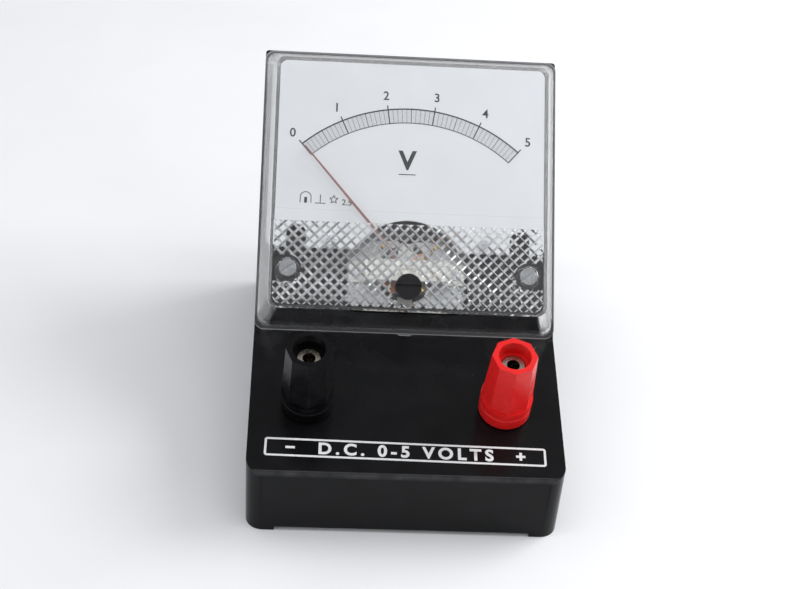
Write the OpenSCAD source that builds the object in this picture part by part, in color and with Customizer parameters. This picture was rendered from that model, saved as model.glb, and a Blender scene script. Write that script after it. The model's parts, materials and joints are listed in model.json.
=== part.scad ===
// Desk-stand moving-coil voltmeter with two screw terminals
// Lengths in millimetres, angles in degrees; the front faces -Y and the feet stand on z = 0

/* [Stand] */
// Width of the stand
base_w = 98; // [90:1:110]
// Height of the front wall at the deck's front edge
front_h = 24.5; // [22:0.5:32]
// Length of the terminal deck along its slope
deck_len = 55.5; // [50:0.5:70]
// Slope of the terminal deck
deck_slope = 12; // [8:1:16]
// Length of the meter panel along its slope
panel_len = 94.3; // [90:0.1:105]
// Slope of the meter panel
panel_slope = 42; // [36:1:50]
// Flat land behind the panel's top edge
top_land = 2.6; // [2:0.1:6]
// Wall thickness of the moulded stand
wall = 2.5; // [2:0.1:3.5]
// Radius of the upright front corners
corner_r = 5.5; // [4:0.5:8]
// Radius of the upright back corners
back_corner_r = 3; // [3:0.5:6]
// Radius along the front and back top edges
edge_r = 2; // [1:0.1:2.5]
// Height of the corner feet below the walls
foot_h = 1.5; // [1.4:0.1:3]
// Length of each corner foot along the walls
foot_len = 9; // [7:0.5:14]
// Thickness of the bottom plate
plate_t = 2; // [1.5:0.1:3]
// Diameter of the screw bosses in the stand
boss_d = 7; // [6:0.1:8]
// Diameter of the self-tapping screws' shanks
screw_d = 2.9; // [2.5:0.1:3.2]
// Diameter of the self-tapping screws' heads
screw_head_d = 5.6; // [5:0.1:6]
// Height of the self-tapping screws' heads
screw_head_h = 1.2; // [1:0.1:1.3]

/* [Terminals] */
// Distance between the two terminals
terminal_pitch = 62; // [50:0.5:66]
// Distance of the terminals from the deck's front edge
terminal_d = 26.5; // [22:0.5:30]
// Diameter of the collar and of the cap's skirt
collar_d = 16.4; // [15:0.1:18]
// Height of the collar above the deck
collar_h = 5; // [4:0.1:7]
// Height of the cap
cap_h = 22.4; // [20:0.1:26]
// Diameter of the cap at its top
cap_top_d = 14.4; // [13.6:0.1:15]
// Height of the cap's round skirt below its flats
skirt_h = 2.6; // [2:0.1:4]
// Number of finger flats round the cap
flat_count = 8; // [6:1:10]
// Depth of the finger flats
flat_depth = 0.7; // [0.4:0.1:0.9]
// Diameter of the recess in the cap's top
recess_d = 10; // [9:0.1:11]
// Depth of the recess in the cap's top
recess_depth = 4.5; // [3:0.1:6]
// Diameter of the brass stud
stud_d = 7; // [6.5:0.1:7.5]
// Diameter of the plug socket in the stud
socket_d = 4; // [4:0.1:4.2]
// Depth of the plug socket
socket_depth = 14.5; // [12:0.5:14.5]
// Diameter of the wire hole across the stud
wire_hole_d = 2.2; // [1.5:0.1:2.6]
// Diameter of the stud's threaded lower shank
shank_d = 6; // [5:0.1:6.2]
// Outer diameter of the brass thread insert in the cap
insert_d = 9.4; // [9:0.1:10]
// Length of the brass thread insert
insert_len = 10; // [8:0.5:11]
// Width across the flats of the terminal nuts
nut_af = 10; // [9:0.5:12]
// Height of the terminal nuts
nut_h = 5; // [4:0.5:6]

/* [Meter cover] */
// Depth of the cover in front of the panel
cover_depth = 13.2; // [12.8:0.1:16]
// Wall thickness of the cover
cover_wall = 1.6; // [1.4:0.1:2.2]
// Thickness of the cover's foot flange
flange_t = 1.6; // [1.2:0.1:2.4]
// Ledge that the flange leaves outside the cover's walls
flange_ledge = 0.8; // [0.5:0.1:1.2]
// Inset of the front face from the side walls' foot
side_draft = 3.5; // [2.5:0.1:5]
// Inset of the front face from the end walls' foot
end_draft = 4.9; // [3.5:0.1:6]
// Corner radius of the cover's rim
rim_r = 3; // [2.5:0.1:5]
// Corner radius of the cover's front face
face_r = 2.5; // [2:0.1:4]
// Width of one diamond of the moulded pattern
diamond_w = 3.4; // [3:0.1:5]
// Depth of the grooves between the diamonds
diamond_depth = 0.4; // [0.3:0.05:0.6]
// Slope of the grooves' sides
diamond_slope = 44; // [40:1:50]
// Height of the pattern's upper edge up the panel
pattern_top = 34; // [30:0.5:38]
// Distance between the two cover screws
cover_screw_pitch = 77.6; // [70:0.1:79]
// Height of the cover screws up the panel
cover_screw_v = 18.4; // [15:0.1:21]
// Diameter of the clear screw columns
column_d = 8; // [7.4:0.1:9]

/* [Dial] */
// Height of the dial's face above the panel
dial_level = 6.2; // [6:0.1:6.6]
// Thickness of the dial plate
dial_t = 0.8; // [0.5:0.1:1]
// Gap between the dial plate and the cover's walls
dial_gap = 0.2; // [0.1:0.05:1]
// Height of the dial's lower edge up the panel
dial_bottom = 26.4; // [24.6:0.1:27]
// Radius of the arch over the movement
arch_r = 18.5; // [18:0.1:19.4]
// Height of the arch's centre up the panel
arch_v = 18; // [17:0.1:18.6]
// Distance between the two notches
notch_pitch = 73; // [70:0.5:76]
// Width of the notches
notch_w = 6.5; // [5:0.1:8]
// Height of the notches' upper ends up the panel
notch_top = 34; // [30:0.5:36]
// Distance between the dial screws
dial_screw_pitch = 50; // [49:0.5:56]
// Height of the dial screws up the panel
dial_screw_v = 29; // [28.5:0.1:31]
// Shank diameter of the dial screws
dial_screw_d = 2; // [1.6:0.1:2.2]

/* [Movement] */
// Height of the pointer's pivot up the panel
pivot_v = 20; // [19.4:0.1:20.6]
// Diameter of the iron core
core_d = 14.4; // [13.8:0.1:14.6]
// Length of the iron core and of the pole pieces
core_len = 14; // [12:0.5:16]
// Diameter of the bore in the pole pieces
pole_bore_d = 19.2; // [19:0.1:20]
// Distance of the pole faces behind the panel's face
pole_back = 1; // [0.8:0.1:1.2]
// Width over both pole pieces
pole_w = 38; // [37:0.5:39]
// Height of the pole pieces below and above the pivot
pole_half_h = 11; // [10.8:0.1:11.4]
// Slot between the two pole pieces
pole_slot = 5; // [4:0.1:5.2]
// Width of the bar magnet
magnet_w = 22; // [20:0.5:24]
// Height of the bar magnet
magnet_h = 14; // [12:0.5:15]
// Thickness of the movement frame
frame_t = 2.5; // [2:0.1:3]
// Distance between the movement screws
frame_pitch = 54; // [52:0.5:60]
// Width of the brass bridges
bridge_w = 7; // [6:0.1:7.4]
// Thickness of the brass bridges
bridge_t = 1.2; // [1:0.1:1.4]
// Diameter of the jewel screws
jewel_d = 3; // [2.8:0.1:3.2]

/* [Coil and pointer] */
// Width of the coil along its axis of turning, across the core
coil_w = 5; // [4:0.1:5.2]
// Thickness of the aluminium coil former
former_t = 0.4; // [0.3:0.05:0.5]
// Thickness of the copper winding
winding_t = 0.7; // [0.5:0.05:0.8]
// Diameter of the coil's steel pivots
staff_d = 1.2; // [1:0.1:1.4]
// Length of the pointer from the pivot to its tip
pointer_len = 53; // [49:0.5:54]
// Width of the pointer where it leaves the movement
pointer_w = 1; // [0.6:0.1:1.2]
// Thickness of the pointer strip
pointer_t = 0.3; // [0.2:0.05:0.4]
// Height of the pointer above the dial's face
pointer_gap = 1.8; // [1.5:0.1:2.2]
// Angle of the scale's zero to the left of upright
zero_angle = 41; // [38:0.5:42]
// Distance of the balance weights from the pivot
weight_r = 7.2; // [5:0.1:7.4]
// Diameter of the tail's balance weight
tail_weight_d = 3.2; // [2:0.1:3.4]
// Length of the tail's balance weight
tail_weight_len = 2; // [1:0.01:2.4]
// Diameter of the side arms' balance weights
side_weight_d = 1.6; // [1.5:0.1:1.7]
// Length of the side arms' balance weights
side_weight_len = 0.8; // [0.5:0.1:1.5]
// Number of turns of each hairspring
spring_turns = 5; // [3:1:6]
// Spacing of the hairsprings' turns
spring_pitch = 0.56; // [0.5:0.02:0.6]
// Eccentricity of the zero adjuster's pin
adjuster_throw = 1.2; // [0.8:0.1:1.4]
// Diameter of the zero adjuster's head
adjuster_d = 8.4; // [7:0.1:9]
// Height of the zero adjuster up the panel
adjuster_v = 13.3; // [12.8:0.1:14]

/* [Hidden] */

$fn = 64;
// Radial clearance of a running fit
slip = 0.05;
// Clearance between pieces that move past each other
gap = 0.3;
// Radial clearance of a screw or a locating boss in its hole
play = 0.1;
// Overlap that lets joined volumes of one piece merge
merge = 0.5;

black_plastic = [0.1, 0.1, 0.11];
red_plastic = [0.72, 0.13, 0.12];
clear_plastic = [0.86, 0.9, 0.92, 0.35];
brass = [0.8, 0.66, 0.36];
steel = [0.68, 0.69, 0.7];
iron = [0.45, 0.46, 0.47];
dial_white = [0.9, 0.9, 0.91];
copper = [0.72, 0.42, 0.24];
bronze = [0.75, 0.6, 0.35];

// Side profile of the stand
deck_run = deck_len * cos(deck_slope);
crease_z = front_h + deck_len * sin(deck_slope);
panel_run = panel_len * cos(panel_slope);
top_z = crease_z + panel_len * sin(panel_slope);
back_edge_r = min(edge_r, 0.65 * top_land);
base_d = deck_run + panel_run + top_land;
plate_top = foot_h + plate_t;
boss_r = boss_d / 2;
screw_r = screw_d / 2;
small_head_r = 1.7;
small_head_h = 0.8;
small_slot = 0.5;
// The bottom screws' heads clear the feet, and their bosses still run into the walls
boss_inset = wall + screw_head_d / 2 + gap;
corner_boss_x = base_w / 2 - boss_inset;
corner_boss_y = base_d / 2 - boss_inset;
corner_boss_h = 13;
bottom_screw_len = 9;
plate_gap = 0.2;
screw_slot = 0.8;
cover_boss_h = 8;
cover_screw_grip = 6;
frame_screw_grip = 6;

// Heights on a terminal, measured from the deck's face along its normal
cap_low = collar_h + gap;
cap_high = cap_low + cap_h;
stud_top = cap_high - recess_depth;
stud_flange_d = 10;
stud_flange_t = 1.2;
spigot_r = stud_d / 2 + 1;
collar_foot_r = 1.2;
collar_top_r = 0.6;
insert_low = cap_low + skirt_h;
insert_high = insert_low + insert_len;
bush_t = 3;
bush_d = 14;
washer_t = 1;
washer_d = 12;
tag_t = 0.6;
tag_w = 6;
tag_len = 12;
bush_low = -wall - bush_t;
washer_low = bush_low - washer_t;
tag_low = washer_low - tag_t;
nut_low = tag_low - nut_h;
stud_low = nut_low - 2.5;
tag_hole_r = 1;
wire_hole_n = cap_low + wire_hole_d / 2 + gap;

// Cover and dial heights, measured from the panel's face along its normal
cover_inside = cover_depth - cover_wall;
foot_half_w = base_w / 2 - flange_ledge;
dial_under = dial_level - dial_t;
dial_inset = cover_wall + dial_gap;
dial_half_w = foot_half_w - draft_at(side_draft, dial_level) - dial_inset;
dial_top = panel_len - flange_ledge - draft_at(end_draft, dial_level) - dial_inset;
dial_boss_r = 2.6;
dial_corner_r = max(rim_r, face_r);
upper_boss_x = dial_half_w - 2.3 * dial_boss_r;
upper_boss_v = dial_top - 1.9 * dial_boss_r;
// The pattern stands on a pad that ends above it in a fine step, and leaves a ring clear round the adjuster
pattern_land = 0.1;
pad_t = 0.25;
pad_top = pattern_top + 3.9;
pad_face = cover_inside - pad_t;
inner_half_w = foot_half_w - draft_at(side_draft, cover_inside) - cover_wall;
inner_low = flange_ledge + draft_at(end_draft, cover_inside) + cover_wall;
pattern_face = pad_face - pattern_land - diamond_depth;
clear_ring = 2.2;
gate_w = 4.2;
gate_len = 0.6;
gate_top = flange_t - 0.2;
gate_t = 0.7;
sheet_t = 0.01;
screw_sink = 2;
screw_turn = 35;
adjuster_shaft_r = 2.3;
adjuster_head_t = 1.2;
adjuster_slot = 1.2;
pin_reach = 0.4;
clip_t = 0.6;
clip_r = 3.6;
pin_r = 0.6;
opening_gap = 1.5;
opening_half_w = pole_w / 2 + opening_gap;
opening_low = pivot_v - pole_half_h - opening_gap;
magnet_low = pole_half_h + 1;
opening_high = pivot_v + magnet_low + magnet_h + opening_gap;

// Movement heights, measured the same way
pole_front = -pole_back;
pole_rear = pole_front - core_len;
frame_rear = pole_rear - frame_t;
core_r = core_d / 2;
key_len = core_len - 6;
coil_r = core_r + 0.4;
coil_end = 0.6;
former_front = pole_front + coil_end + former_t;
former_rear = pole_rear - coil_end - former_t;
winding_front = former_front + winding_t;
winding_rear = former_rear - winding_t;
pivot_base_t = 0.5;
hub_r = 2;
point_len = 0.95;
hub_low = winding_front + pivot_base_t;
hub_high = hub_low + 0.8;
spring_h = 0.6;
spring_low = hub_high + 0.8;
spring_t = 0.14;
collet_r = 1.3;
spring_r = collet_r + slip + spring_t / 2;
spring_end_r = spring_r + spring_turns * spring_pitch;
bridge_under = spring_low + spring_h + 1.5;
bridge_top = bridge_under + bridge_t;
bridge_leg_x = 12.6;
bridge_screw_x = (bridge_leg_x + bridge_t + pole_w / 2) / 2;
bridge_screw_r = 1;
bridge_screw_len = 6;
lever_low = bridge_top + play;
lever_high = lever_low + 0.7;
jewel_r = jewel_d / 2;
jewel_reach = 0.6;
jewel_low = bridge_under - jewel_reach;
jewel_cup = 0.9;
jewel_head_t = 0.9;
jewel_slot = 0.6;
jewel_head_r = jewel_r + 0.7;
lever_r = jewel_r + 1.7;
lever_half_w = 1.8;
fork_len = 1.5;
fork_half_w = pin_r + 0.15;
tip_play = 0.15;
tab_y = bridge_w / 2 + 1.1;
tab_t = 0.6;
rear_tag_y = spring_end_r + 0.4;
rear_spring_high = winding_rear - pivot_base_t - 1.4;
rear_bridge_over = rear_spring_high - spring_h - 1.2;
rear_bridge_low = rear_bridge_over - bridge_t;
pointer_low = dial_level + pointer_gap;
pointer_high = pointer_low + pointer_t;
crank_r = 9.2;
crank_t = 0.6;
arm_len = weight_r + 1;
stop_r = 0.5;
stop_at = crank_r + 2;
stop_over = 3;
stop_angle = asin((stop_r + pointer_w / 2) / stop_at) + stop_over;
pin_y = adjuster_v - pivot_v - adjuster_throw;
movement_boss_v = pivot_v + 0.73 * pole_half_h;
ear_r = 4;
lead_r = 0.7;
resistor_r = 2.5;
resistor_len = 15;
resistor_wire_r = 0.4;
resistor_n = tag_low - resistor_wire_r - slip;
resistor_in = -1;
resistor_low = resistor_in + 3;
resistor_end = 3.5;
resistor_out = terminal_pitch / 2 - tag_len + 5;
lead_steps = 5;

// Routes of the two inner leads: they hang from the terminals and rise to the back of the movement
black_route = [deck_point(-terminal_pitch / 2 + tag_len - 3, terminal_d, tag_low - lead_r - play),
    [-0.34 * terminal_pitch, -0.23 * base_d, 0.6 * front_h],
    [-0.3 * terminal_pitch, -0.1 * base_d, 0.5 * front_h],
    [-0.26 * terminal_pitch, 0.03 * base_d, 0.8 * front_h],
    panel_point(-0.4 * pole_w, pivot_v - pole_half_h - gap - lead_r, frame_rear + frame_t / 2)];
red_route = [deck_point(resistor_in - lead_r - play, terminal_d, resistor_n),
    [-0.06 * terminal_pitch, -0.24 * base_d, 0.6 * front_h],
    [-0.05 * terminal_pitch, -0.1 * base_d, 0.45 * front_h],
    [-0.02 * terminal_pitch, 0.1 * base_d, 0.78 * front_h],
    panel_point(0, pivot_v - bridge_w / 2 - gap - lead_r, (rear_bridge_low + rear_bridge_over) / 2)];

// How far a drafted wall has moved in at height n above the panel
function draft_at(draft, n) = draft * (n - flange_t) / (cover_depth - flange_t);

function unit(v) = v / norm(v);

// Point on or off the deck, and on or off the panel, in the stand's own frame
function deck_point(x, d, n) = [x, d * cos(deck_slope) - n * sin(deck_slope) - base_d / 2,
    front_h + d * sin(deck_slope) + n * cos(deck_slope)];
function panel_point(x, v, n) = [x, deck_run + v * cos(panel_slope) - n * sin(panel_slope) - base_d / 2,
    crease_z + v * sin(panel_slope) + n * cos(panel_slope)];

module on_deck(x = 0, d = 0)
    translate(deck_point(x, d, 0)) rotate([deck_slope, 0, 0]) children();

module on_panel(x = 0, v = 0)
    translate(panel_point(x, v, 0)) rotate([panel_slope, 0, 0]) children();

module at_pivot() on_panel(0, pivot_v) children();

// The moving coil's own frame, with the pointer along +Y, turned to the scale's zero
module on_coil() at_pivot() rotate([0, 0, zero_angle]) children();

module at_sides(x) for (side = [-1, 1]) translate([side * x, 0, 0]) children();

// Cylinder, ring and block between two heights
module disc(r, low, high) translate([0, 0, low]) cylinder(r = r, h = high - low);

module ring(r_out, r_in, low, high) translate([0, 0, low]) linear_extrude(high - low) difference() {
    circle(r_out);
    circle(r_in);
}

module block(x, y, n) translate([x[0], y[0], n[0]]) cube([x[1] - x[0], y[1] - y[0], n[1] - n[0]]);

// Outline through corner points, with each corner rounded by a true arc
module rounded_outline(points, radii) {
    count = len(points);
    arms = [for (i = [0 : count - 1])
        [unit(points[(i + count - 1) % count] - points[i]), unit(points[(i + 1) % count] - points[i])]];
    half = [for (a = arms) acos(a[0] * a[1]) / 2];
    polygon([for (i = [0 : count - 1]) let (t = radii[i] / tan(half[i]))
        each radii[i] > 0 ? [points[i] + t * arms[i][0], points[i] + t * arms[i][1]] : [points[i]]]);
    for (i = [0 : count - 1])
        if (radii[i] > 0)
            translate(points[i] + unit(arms[i][0] + arms[i][1]) * radii[i] / sin(half[i])) circle(radii[i]);
}

module rounded_rect(x0, x1, y0, y1, r)
    rounded_outline([[x0, y0], [x1, y0], [x1, y1], [x0, y1]], [r, r, r, r]);

// Stand seen from above, with its walls moved in by t
module stand_plan(t) {
    half_w = base_w / 2 - t;
    half_d = base_d / 2 - t;
    front_r = max(corner_r - t, 0.5);
    back_r = max(back_corner_r - t, 0.5);
    rounded_outline([[-half_w, -half_d], [half_w, -half_d], [half_w, half_d], [-half_w, half_d]],
        [front_r, front_r, back_r, back_r]);
}

// Side profiles of the outer faces and of the hollow, from the front edge over the top to the back
outer_profile = [[0, 0], [0, front_h], [deck_run, crease_z], [deck_run + panel_run, top_z], [base_d, top_z],
    [base_d, 0]];
deck_in = [sin(deck_slope), -cos(deck_slope)];
panel_in = [sin(panel_slope), -cos(panel_slope)];
crease_in = [deck_run, crease_z] + wall * (deck_in + panel_in) / (1 + deck_in * panel_in);
hollow_back = base_d - wall;
hollow_profile = [[wall, -1], [wall, front_h + wall * tan(deck_slope) - wall / cos(deck_slope)], crease_in,
    [hollow_back, crease_in[1] + (hollow_back - crease_in[0]) * tan(panel_slope)], [hollow_back, -1]];

module side_profile() translate([0, -base_d / 2, 0]) rotate([90, 0, 90])
    linear_extrude(base_w + 2, center = true) children();

module stand_shell() difference() {
    intersection() {
        linear_extrude(top_z) stand_plan(0);
        side_profile() rounded_outline(outer_profile, [0, edge_r, 0, 0, back_edge_r, 0]);
    }
    intersection() {
        translate([0, 0, -1]) linear_extrude(top_z) stand_plan(wall);
        side_profile() polygon(hollow_profile);
    }
}

module at_corners(x, y) for (sx = [-1, 1], sy = [-1, 1]) translate([sx * x, sy * y, 0]) children();

module stand_bosses() {
    at_corners(corner_boss_x, corner_boss_y) disc(boss_r, plate_top, plate_top + corner_boss_h);
    on_panel(0, cover_screw_v) at_sides(cover_screw_pitch / 2)
        disc(boss_r, -wall - cover_boss_h, -wall + merge);
    on_panel(0, movement_boss_v) at_sides(frame_pitch / 2) disc(boss_r, pole_rear, -wall + merge);
    on_panel(0, dial_screw_v) at_sides(dial_screw_pitch / 2) disc(dial_boss_r, -merge, dial_under);
    on_panel(0, upper_boss_v) at_sides(upper_boss_x) disc(dial_boss_r, -merge, dial_under);
}

// Openings between the corner feet, under the front, back and side walls
module foot_reliefs() {
    free_x = base_w / 2 - foot_len;
    free_y = base_d / 2 - foot_len;
    block([-free_x, free_x], [-base_d, base_d], [-1, foot_h]);
    block([-base_w, base_w], [-free_y, free_y], [-1, foot_h]);
}

module stand_housing() color(black_plastic) difference() {
    union() {
        stand_shell();
        stand_bosses();
    }
    foot_reliefs();
    at_corners(corner_boss_x, corner_boss_y)
        disc(screw_r + play, plate_top - 1, plate_top + bottom_screw_len);
    on_deck(0, terminal_d) at_sides(terminal_pitch / 2) disc(spigot_r + play, -wall - 1, 1);
    on_panel() translate([0, 0, -wall - 1]) linear_extrude(wall + 2)
        rounded_rect(-opening_half_w, opening_half_w, opening_low, opening_high, 4);
    on_panel(0, cover_screw_v) at_sides(cover_screw_pitch / 2)
        disc(screw_r + play, -wall - cover_screw_grip - 1, 1);
    on_panel(0, movement_boss_v) at_sides(frame_pitch / 2)
        disc(screw_r + play, pole_rear - 1, pole_rear + frame_screw_grip + 1);
    on_panel(0, dial_screw_v) at_sides(dial_screw_pitch / 2)
        disc(dial_screw_d / 2 + play, -1, dial_under + 1);
}

module bottom_plate() color(black_plastic) translate([0, 0, foot_h]) linear_extrude(plate_t) difference() {
    stand_plan(wall + plate_gap);
    at_corners(corner_boss_x, corner_boss_y) circle(screw_r + 2 * play);
}

// Pan-head screw with its head's underside at z = 0 and its shank along -Z
module pan_screw(shank_r, length, head_r, head_h, slot_w) difference() {
    union() {
        disc(shank_r, -length, 0);
        disc(head_r, 0, head_h);
    }
    block([-head_r - 1, head_r + 1], [-slot_w / 2, slot_w / 2], [head_h * 0.5, head_h + 1]);
}

module self_tapper(length) pan_screw(screw_r, length, screw_head_d / 2, screw_head_h, screw_slot);

module bottom_screws() color(steel) at_corners(corner_boss_x, corner_boss_y) translate([0, 0, foot_h])
    rotate([180, 0, 0]) self_tapper(plate_t + bottom_screw_len - 1);

module collar(side, tone) color(tone) on_deck(side * terminal_pitch / 2, terminal_d) difference() {
    union() {
        disc(spigot_r, -wall, merge);
        rotate_extrude() difference() {
            rounded_outline([[0, 0], [collar_d / 2, 0], [collar_d / 2, collar_h], [0, collar_h]],
                [0, collar_foot_r, collar_top_r, 0]);
            square([shank_d / 2 + play, collar_h + 1]);
        }
    }
    disc(shank_d / 2 + play, -wall - 1, collar_h + 1);
    disc(stud_flange_d / 2 + play, collar_h - stud_flange_t, collar_h + 1);
}

module stud(side) color(brass) on_deck(side * terminal_pitch / 2, terminal_d) difference() {
    union() {
        disc(shank_d / 2, stud_low, collar_h);
        disc(stud_flange_d / 2, collar_h - stud_flange_t, collar_h);
        disc(stud_d / 2, collar_h - stud_flange_t, stud_top);
    }
    disc(socket_d / 2, stud_top - socket_depth, stud_top + 1);
    translate([0, 0, wire_hole_n]) rotate([0, 90, 0])
        cylinder(d = wire_hole_d, h = stud_d + 2, center = true);
}

module insert(side) color(brass) on_deck(side * terminal_pitch / 2, terminal_d)
    ring(insert_d / 2, stud_d / 2 + slip, insert_low, insert_high);

// Tapered cap with flats above a round skirt, bored for the insert and recessed round the socket
module cap(side, tone) color(tone) on_deck(side * terminal_pitch / 2, terminal_d) difference() {
    taper = atan((collar_d - cap_top_d) / 2 / (cap_h - skirt_h));
    union() {
        disc(collar_d / 2, cap_low, cap_low + skirt_h);
        translate([0, 0, cap_low + skirt_h])
            cylinder(r1 = collar_d / 2, r2 = cap_top_d / 2, h = cap_h - skirt_h);
    }
    for (i = [0 : flat_count - 1]) rotate([0, 0, (i + 0.5) * 360 / flat_count])
        translate([collar_d / 2 - flat_depth, -collar_d, cap_low + skirt_h]) rotate([0, -taper, 0])
            cube([collar_d, 2 * collar_d, 2 * cap_h]);
    disc(stud_d / 2 + gap, cap_low - 1, cap_high + 1);
    disc(insert_d / 2 + slip, insert_low - slip, insert_high + slip);
    disc(recess_d / 2, stud_top, cap_high + 1);
}

module black_collar() collar(-1, black_plastic);
module red_collar() collar(1, red_plastic);
module black_stud() stud(-1);
module red_stud() stud(1);
module black_insert() insert(-1);
module red_insert() insert(1);
module black_cap() cap(-1, black_plastic);
module red_cap() cap(1, red_plastic);

module under_deck() on_deck(0, terminal_d) at_sides(terminal_pitch / 2) children();

module terminal_bushes() color([0.3, 0.3, 0.32]) under_deck()
    ring(bush_d / 2, shank_d / 2 + play, bush_low, -wall);

module terminal_washers() color(steel) under_deck()
    ring(washer_d / 2, shank_d / 2 + play, washer_low, bush_low);

// Flat ring with a tail that points to the middle of the stand
module solder_tags() color([0.8, 0.79, 0.74]) for (side = [-1, 1])
    on_deck(side * terminal_pitch / 2, terminal_d) mirror([side > 0 ? 1 : 0, 0, 0])
        translate([0, 0, tag_low]) linear_extrude(tag_t) difference() {
            union() {
                circle(nut_af / 2);
                translate([0, -tag_w / 2]) square([tag_len - tag_w / 2, tag_w]);
                translate([tag_len - tag_w / 2, 0]) circle(tag_w / 2);
            }
            circle(shank_d / 2 + play);
            translate([tag_len - tag_w / 2, 0]) circle(tag_hole_r);
        }

module terminal_nuts() color(brass) under_deck() translate([0, 0, nut_low])
    linear_extrude(nut_h) difference() {
        circle(d = nut_af / cos(30), $fn = 6);
        circle(shank_d / 2 + play);
    }

// Rounded rectangle over the panel, moved in by inset from the rim, as a thin sheet at height n
module cover_section(side_inset, end_inset, r, n) translate([0, 0, n]) linear_extrude(sheet_t)
    rounded_rect(-base_w / 2 + side_inset, base_w / 2 - side_inset, end_inset, panel_len - end_inset, r,
        $fn = 32);

// Drafted block between two heights, moved in by t all round
module cover_block(t, low, high) {
    inset = flange_ledge + t;
    hull() {
        cover_section(inset + draft_at(side_draft, low), inset + draft_at(end_draft, low), rim_r, low);
        cover_section(inset + draft_at(side_draft, high), inset + draft_at(end_draft, high), face_r,
            high - sheet_t);
    }
}

// Field of the pattern inside the cover, moved in by t from its side and bottom walls
module pattern_field(t, high) difference() {
    half_w = inner_half_w - t;
    low = inner_low + t;
    rounded_outline([[-half_w, low], [half_w, low], [half_w, high], [-half_w, high]],
        [rim_r, rim_r, 0, 0]);
    translate([0, adjuster_v]) circle(clip_r + clear_ring);
}

// Thicker lower part of the cover's front: a pad that ends in a fine step, and the field of diamonds on it
module pattern_blank() {
    root = cover_inside + cover_wall / 4;
    translate([0, 0, pad_face]) linear_extrude(root - pad_face) pattern_field(-merge, pad_top);
    translate([0, 0, pattern_face]) linear_extrude(root - pattern_face)
        pattern_field(-merge, pattern_top);
}

// One set of parallel grooves across the field, open towards the dial, that ends short of the columns
module pattern_grooves(turn) intersection() {
    pitch = diamond_w / sqrt(2);
    half_w = diamond_depth / tan(diamond_slope);
    count = ceil((base_w + pattern_top) / 2 / diamond_w);
    clear = column_d / 2 + gap;
    section = [[-2 * half_w, -diamond_depth], [2 * half_w, -diamond_depth], [0, diamond_depth]];
    translate([0, pattern_top - 4.25 * diamond_w, pattern_face]) rotate([90, 0, turn])
        linear_extrude(base_w + pattern_top, center = true)
            for (k = [-count : count]) translate([k * pitch, 0]) polygon(section);
    translate([0, 0, pattern_face - diamond_depth]) linear_extrude(2 * diamond_depth) difference() {
        pattern_field(play, pattern_top + 1);
        translate([0, cover_screw_v]) {
            at_sides(cover_screw_pitch / 2) circle(clear);
            at_sides(base_w / 2) square([base_w - cover_screw_pitch, 2 * clear], center = true);
        }
    }
}

module cover_columns(r, low, high) translate([0, cover_screw_v, 0])
    at_sides(cover_screw_pitch / 2) disc(r, low, high);

module meter_cover() color(clear_plastic) on_panel() difference() {
    union() {
        difference() {
            union() {
                linear_extrude(flange_t) rounded_rect(-base_w / 2, base_w / 2, 0, panel_len, rim_r);
                block([-gate_w / 2, gate_w / 2], [-gate_len, merge], [gate_top - gate_t, gate_top]);
                cover_block(0, flange_t / 2, cover_depth);
            }
            cover_block(cover_wall, -1, cover_inside);
        }
        pattern_blank();
        cover_columns(column_d / 2, 0, cover_inside + merge);
    }
    cover_columns(screw_r + 2 * play, -1, cover_depth + 1);
    cover_columns(screw_head_d / 2 + gap, cover_depth - screw_sink, cover_depth + 1);
    translate([0, adjuster_v, 0]) disc(adjuster_shaft_r + slip, 0, cover_depth + 1);
    pattern_grooves(45);
    pattern_grooves(-45);
}

module cover_screws() color(steel) on_panel(0, cover_screw_v) at_sides(cover_screw_pitch / 2)
    translate([0, 0, cover_depth - screw_sink]) rotate([0, 0, screw_turn])
        self_tapper(cover_depth - screw_sink + wall + cover_screw_grip);

// Slotted head outside the cover, shaft through it and eccentric pin down to the zero lever's fork
module zero_adjuster() color(black_plastic) on_panel(0, adjuster_v) {
    difference() {
        union() {
            disc(adjuster_d / 2, cover_depth + slip, cover_depth + slip + adjuster_head_t);
            disc(adjuster_shaft_r, cover_inside - clip_t - 2 * slip, cover_depth + slip + merge);
        }
        block([-adjuster_d, adjuster_d], [-adjuster_slot / 2, adjuster_slot / 2],
            [cover_depth + slip + adjuster_head_t / 2, cover_depth + 3]);
    }
    translate([0, -adjuster_throw, 0]) disc(pin_r, lever_low - pin_reach, cover_inside - clip_t);
}

module adjuster_clip() color(steel) on_panel(0, adjuster_v)
    ring(clip_r, adjuster_shaft_r + slip / 2, cover_inside - clip_t - slip, cover_inside - slip);

module dial_outline() difference() {
    rounded_rect(-dial_half_w, dial_half_w, dial_bottom, dial_top, dial_corner_r);
    translate([0, arch_v]) circle(arch_r);
    at_sides(notch_pitch / 2) {
        translate([0, notch_top - notch_w / 2]) circle(notch_w / 2);
        translate([-notch_w / 2, dial_bottom - 1])
            square([notch_w, notch_top - notch_w / 2 - dial_bottom + 1]);
    }
    translate([0, dial_screw_v]) at_sides(dial_screw_pitch / 2) circle(dial_screw_d / 2 + play);
}

module dial_plate() color(dial_white) on_panel() translate([0, 0, dial_under]) linear_extrude(dial_t)
    dial_outline();

module dial_screws() color(steel) on_panel(0, dial_screw_v) at_sides(dial_screw_pitch / 2)
    translate([0, 0, dial_level])
        pan_screw(dial_screw_d / 2, dial_level, small_head_r, small_head_h, small_slot);

// Two posts that stand on the pole pieces just past both ends of the pointer's swing
module pointer_stops() color(brass) at_pivot() for (side = [-1, 1])
    rotate([0, 0, side * (zero_angle + stop_angle)]) translate([0, stop_at, 0])
        disc(stop_r, pole_front, pointer_high + 0.5);

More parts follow.
